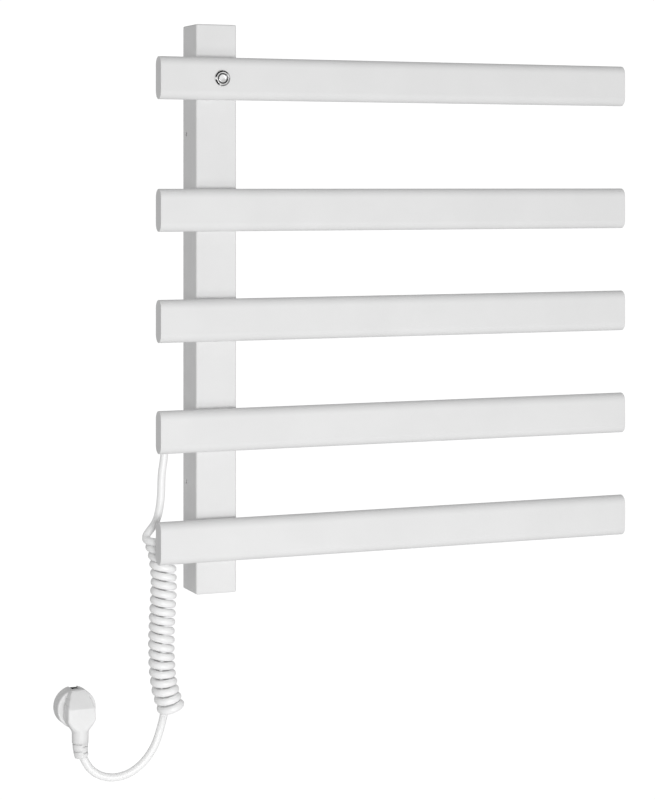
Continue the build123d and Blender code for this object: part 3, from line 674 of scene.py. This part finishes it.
# The clip's section: places across it against heights from its outside.
CLIP_SECTION = ((-3.0, -0.08), (-2.7, 0.06), (2.7, 0.06), (3.0, -0.08), (3.0, -0.5), (-3.0, -0.5))
BODY_CORNER = 1.6
NECK_CORNER = 7.2
NECK_TOP = -6.0            # the corners grow rounder from here down
NECK_FADE = 12.0           # and are as round as the neck after this much
NECK_EASING = 1.5
LEAST_FLAT = 0.05          # left between two of the cover's corners
CORNER_STEPS = 9
COVER_LEVELS = 200

# Heights above the pins' axis against the cover's half width, with finger grips.
COVER_HALF_WIDTHS = (
    (19.0, 4.6, 0), (18.5, 6.6, 1.0), (16.4, 8.4, 2.5), (12.2, 9.8, 2.0), (11.4, 10.0, 0.2),
    (11.1, 10.8, 0.2), (5.7, 11.9, 0.2), (5.4, 12.6, 0.2), (3.0, 13.1, 1.0), (-8.0, 13.4, 4.0),
    (-13.0, 11.0, 6.0), (-18.0, 7.8, 6.0), (-29.0, 7.6, 0),
)
# Heights above the pins' axis against the cover's front face.
COVER_FRONTS = (
    (19.0, -15.4, 0), (18.3, -16.6, 0.8), (3.2, -26.8, 0.7), (-9.0, -27.3, 8.0),
    (-29.0, -27.4, 0),
)
# And against its back, which leaves the seam below the body.
COVER_BACKS = ((19.0, -9.0, 0), (-13.0, -9.0, 6.0), (-19.0, -12.3, 6.0), (-29.0, -12.3, 0))
PLUG_SLEEVE_ROUTE = (
    (-0.1225, -0.0199, -0.4035),
    (-0.1225, -0.0199, -0.4090),
    (-0.1219, -0.0199, -0.4135),
    (-0.1210, -0.0200, -0.4178),
)
PLUG_SLEEVE_START_RADIUS = 0.0074
PLUG_SLEEVE_TAPER = 0.0011
PLUG_SLEEVE_TIP_FROM = 0.92
PLUG_SLEEVE_TIP_ROUNDING = 0.0012
# Each slot's share of the sleeve's length, and its side.
PLUG_SLEEVE_SLOTS = ((0.07, -1), (0.25, 1), (0.53, -1), (0.70, 1))
SLOT_HALF_WIDTH = 0.04     # share of the sleeve's length
SLOT_STARTS = 0.04         # cosines of the angle from the slot's middle
SLOT_FADES_IN = 0.10
SLOT_DEPTH = 0.0016


def cover_section(height, half, front, back, corner):
    """One level of the cover: a rounded block from its front to its back."""
    ring = []
    corner = min(corner, half - LEAST_FLAT, (back - front) / 2 - LEAST_FLAT)
    ends = ((-1, front, 180), (1, front, 270), (1, back, 0), (-1, back, 90))
    for side, edge, turn in ends:
        inwards = 1 if edge == front else -1
        centre_x = side * (half - corner)
        centre_y = edge + inwards * corner
        for step in range(CORNER_STEPS + 1):
            angle = math.radians(turn + 90 * step / CORNER_STEPS)
            x = PLUG_X + centre_x + corner * math.cos(angle)
            y = centre_y + corner * math.sin(angle)
            ring.append((x / MM_PER_METRE, y / MM_PER_METRE, (PLUG_Z + height) / MM_PER_METRE))
    return ring


def make_cover():
    """The moulded half with the finger grips, narrowing to a round neck over the cord."""
    widths = rounded(COVER_HALF_WIDTHS, 5)
    fronts = rounded(COVER_FRONTS, 5)
    backs = rounded(COVER_BACKS, 5)
    rings = []
    top = COVER_HALF_WIDTHS[0][0]
    bottom = COVER_HALF_WIDTHS[-1][0]
    for index in range(COVER_LEVELS + 1):
        height = top + (bottom - top) * index / COVER_LEVELS
        necked = min(max((NECK_TOP - height) / NECK_FADE, 0.0), 1.0)
        corner = BODY_CORNER + (NECK_CORNER - BODY_CORNER) * necked**NECK_EASING
        half = value_at(widths, height)
        front = value_at(fronts, height)
        back = value_at(backs, height)
        rings.append(cover_section(height, half, front, back, corner))
    return add_mesh("plug_body", rings, sharp=40.0)


def make_insert():
    """The round half that sinks into a wall socket, with a groove for each earth clip."""
    floor = PLUG_FACE - FACE_GROOVE_DEPTH
    outline = [(AXIS_RADIUS, PLUG_SEAM, 0), (PLUG_RADIUS, PLUG_SEAM, 1.4), (PLUG_RADIUS, PLUG_FACE, 0.8)]
    outline += [(FACE_GROOVE_OUTER, PLUG_FACE, 0.2), (FACE_GROOVE_OUTER - FACE_GROOVE_SLOPE, floor, 0.2)]
    outline += [(FACE_GROOVE_INNER + FACE_GROOVE_SLOPE, floor, 0.2), (FACE_GROOVE_INNER, PLUG_FACE, 0.2)]
    outline += [(AXIS_RADIUS, PLUG_FACE, 0)]
    corners = rounded(outline)
    profile = []
    for start, end in zip(corners, corners[1:]):
        pieces = max(1, round((end - start).length / INSERT_STEP))
        profile += [start.lerp(end, step / pieces) for step in range(pieces)]
    profile.append(corners[-1])
    segments = 256
    rings = []
    for radius, y in profile:
        ring = []
        for index in range(segments):
            angle = 2 * math.pi * index / segments
            x = radius * math.cos(angle)
            z = radius * math.sin(angle)
            if y > CLIP_GROOVE_FROM and abs(x) < CLIP_GROOVE_HALF:
                limit = PLUG_RADIUS - CLIP_GROOVE_DEPTH
                z = max(-limit, min(limit, z))
            ring.append(((PLUG_X + x) / MM_PER_METRE, y / MM_PER_METRE, (PLUG_Z + z) / MM_PER_METRE))
        rings.append(ring)
    return add_mesh("plug_face", rings)


def make_pins():
    """The two contact pins, each on a collar."""
    pins = []
    for side in (-1, 1):
        outline = [(AXIS_RADIUS, PIN_ROOT, 0), (PIN_RADIUS, PIN_ROOT, 0), (PIN_COLLAR_RADIUS, PLUG_FACE, 0)]
        outline += [(PIN_COLLAR_RADIUS, PIN_COLLAR_FRONT, 0.1), (PIN_RADIUS, PIN_COLLAR_FRONT + 0.05, 0)]
        outline += [(PIN_RADIUS, PIN_TIP - 1.4, 1.2), (PIN_TIP_RADIUS, PIN_TIP, 0.5)]
        outline += [(AXIS_RADIUS, PIN_TIP, 0)]
        centre = (PLUG_X + side * PIN_OFFSET, PLUG_Z)
        pins.append(turned("pin", centre, rounded(outline), segments=48))
    return joined("plug_pin_pair", pins)


def make_clips():
    """Two sprung earth contacts, bowed outwards along the insert."""
    clips = []
    for side in (-1, 1):
        rings = []
        for index in range(CLIP_STEPS + 1):
            share = index / CLIP_STEPS
            y = CLIP_START + CLIP_LENGTH * share
            bow = CLIP_BOW * math.sin(math.pi * share) ** 0.8
            outer = PLUG_RADIUS - CLIP_GROOVE_DEPTH + CLIP_LIFT + bow
            ring = []
            for x, outwards in CLIP_SECTION:
                z = side * (outer + outwards)
                ring.append(((PLUG_X + x) / MM_PER_METRE, y / MM_PER_METRE, (PLUG_Z + z) / MM_PER_METRE))
            rings.append(ring)
        clips.append(add_mesh("clip", rings))
    return joined("plug_clip_pair", clips)


def plug_sleeve_radius(share, angle):
    """Tapers to the cord, with half-round slots cut in turn from the left and the right."""
    body = PLUG_SLEEVE_START_RADIUS - PLUG_SLEEVE_TAPER * share
    if share > PLUG_SLEEVE_TIP_FROM:
        tip = (share - PLUG_SLEEVE_TIP_FROM) / (1 - PLUG_SLEEVE_TIP_FROM)
        body -= PLUG_SLEEVE_TIP_ROUNDING * tip**2
    across = math.cos(angle)
    for slot, side in PLUG_SLEEVE_SLOTS:
        if abs(share - slot) < SLOT_HALF_WIDTH and across * side > SLOT_STARTS:
            depth = min(1.0, (across * side - SLOT_STARTS) / SLOT_FADES_IN)
            return body - SLOT_DEPTH * depth
    return body


def make_plug_pieces():
    sleeve = swept("plug_sleeve", PLUG_SLEEVE_ROUTE, plug_sleeve_radius, 128, 170)
    return [
        finish_piece(make_cover(), "plug_pvc", "plug_pvc", "rack", "plug_cover"),
        finish_piece(make_insert(), "plug_pvc", "plug_pvc", "rack", "plug_insert"),
        finish_piece(make_pins(), "nickel_brass", "nickel_brass", "rack", "plug_pins"),
        finish_piece(make_clips(), "nickel_brass", "nickel_brass", "rack", "plug_earth_clips"),
        finish_piece(sleeve, "plug_pvc", "plug_pvc", "rack", "plug_strain_relief"),
    ]


# ---- light and floor --------------------------------------------------------

FLOOR_HEIGHT = -1.0
FLOOR_SIZE = 1.4
FLOOR_CENTRE = (0.1, -0.1)
# Each lamp's place, the point it aims at, its size and its power.
KEY_LIGHT = ((-0.45, -3.0, -0.3), (0.12, 0.0, 0.0), 1.2, 48.0)
LOW_FILL = ((0.3, -1.6, -0.95), (0.1, 0.0, 0.0), 0.6, 4.0)
BACKDROP = 1.05            # how bright the studio looks behind the rack
AMBIENT_FRONT = 0.29
AMBIENT_BACK = 0.73
DARK_SIDE = (-0.55, 0.0, 0.83)
DARK_SIDE_RIM = -0.15      # cosines from the direction above between which the dark sets in
DARK_SIDE_INSIDE = -0.02
REFLECTED_ROOM = 0.28
REFLECTED_DARK = 0.02
# What polished metal mirrors: a direction, the cosines at its rim and inside it, and its light.
DARK_CORNER = ((-0.320, -0.790, -0.520), 0.930, 0.960, 0.06)
WINDOWS = (
    ((0.335, -0.940, 0.050), 0.82, 0.90, 0.60),
    ((-0.553, -0.831, 0.048), 0.980, 0.992, 1.0),
    ((0.023, -0.700, -0.708), 0.985, 0.995, 0.6),
)


def area_light(name, place, aim, size, power):
    data = bpy.data.lights.new(name, "AREA")
    data.shape = "DISK"
    data.size = size
    data.energy = power
    light = bpy.data.objects.new(name, data)
    light.location = place
    direction = Vector(aim) - Vector(place)
    light.rotation_euler = direction.to_track_quat("-Z", "Y").to_euler()
    light.visible_camera = False
    bpy.context.scene.collection.objects.link(light)


def make_world():
    """A studio: white to look at, dimmer in front as light, and dark above left in reflections."""
    world = bpy.data.worlds.new("studio")
    bpy.context.scene.world = world
    world.use_nodes = True
    tree = world.node_tree
    links = tree.links
    direction = tree.nodes.new("ShaderNodeTexCoord").outputs["Generated"]

    def lit(strength):
        """White light of that strength, a number or another node's result."""
        light = tree.nodes.new("ShaderNodeBackground")
        light.inputs["Color"].default_value = (1.0, 1.0, 1.0, 1.0)
        if isinstance(strength, float):
            light.inputs["Strength"].default_value = strength
        else:
            links.new(strength, light.inputs["Strength"])
        return light.outputs["Background"]

    def along(axis, low, high, from_low=-1.0, from_high=1.0):
        """Runs from low to high as the cosine to an axis runs over its range."""
        dot = tree.nodes.new("ShaderNodeVectorMath")
        dot.operation = "DOT_PRODUCT"
        dot.inputs[1].default_value = axis
        links.new(direction, dot.inputs[0])
        spread = tree.nodes.new("ShaderNodeMapRange")
        spread.inputs["From Min"].default_value = from_low
        spread.inputs["From Max"].default_value = from_high
        spread.inputs["To Min"].default_value = low
        spread.inputs["To Max"].default_value = high
        links.new(dot.outputs["Value"], spread.inputs["Value"])
        return spread.outputs["Result"]

    def combined(operation, first, second):
        math_node = tree.nodes.new("ShaderNodeMath")
        math_node.operation = operation
        links.new(first, math_node.inputs[0])
        links.new(second, math_node.inputs[1])
        return math_node.outputs["Value"]

    def chosen(ray_kind, otherwise, then):
        """One light for rays of that kind and another for the rest."""
        mix = tree.nodes.new("ShaderNodeMixShader")
        links.new(rays.outputs[ray_kind], mix.inputs["Fac"])
        links.new(otherwise, mix.inputs[1])
        links.new(then, mix.inputs[2])
        return mix.outputs["Shader"]

    rays = tree.nodes.new("ShaderNodeLightPath")
    seen = lit(BACKDROP)
    ambient = lit(along((0.0, 1.0, 0.0), AMBIENT_FRONT, AMBIENT_BACK))
    mirrored = along(DARK_SIDE, REFLECTED_ROOM, REFLECTED_DARK, DARK_SIDE_RIM, DARK_SIDE_INSIDE)
    aim, rim, inside, left_over = DARK_CORNER
    mirrored = combined("MULTIPLY", mirrored, along(aim, 1.0, left_over, rim, inside))
    for aim, rim, inside, brightness in WINDOWS:
        mirrored = combined("ADD", mirrored, along(aim, 0.0, brightness, rim, inside))
    lighting = chosen("Is Glossy Ray", ambient, lit(mirrored))
    whole = chosen("Is Camera Ray", lighting, seen)
    links.new(whole, tree.nodes["World Output"].inputs["Surface"])


def make_floor():
    """A pale floor well below the rack."""
    mesh = bpy.data.meshes.new("floor")
    half = FLOOR_SIZE / 2
    corners = [(-half, -half), (half, -half), (half, half), (-half, half)]
    places = [(FLOOR_CENTRE[0] + x, FLOOR_CENTRE[1] + y, FLOOR_HEIGHT) for x, y in corners]
    mesh.from_pydata(places, [], [(0, 1, 2, 3)])
    floor = bpy.data.objects.new("floor", mesh)
    bpy.context.scene.collection.objects.link(floor)
    mesh.materials.append(moulded_plastic("floor_paint", grey(0.8), grey(0.83), 0.7, 0.01))


def make_studio():
    make_world()
    make_floor()
    area_light("key", *KEY_LIGHT)
    area_light("low_fill", *LOW_FILL)
    bpy.context.scene.view_settings.view_transform = "Standard"


# ---- the whole model --------------------------------------------------------

make_camera()
materials = make_materials()
cord = make_cord()
cord.data.materials.append(materials["cord_pvc"])
dress_nodes()
make_button_pieces()
make_outlet_sleeve()
plug_pieces = make_plug_pieces()
make_studio()
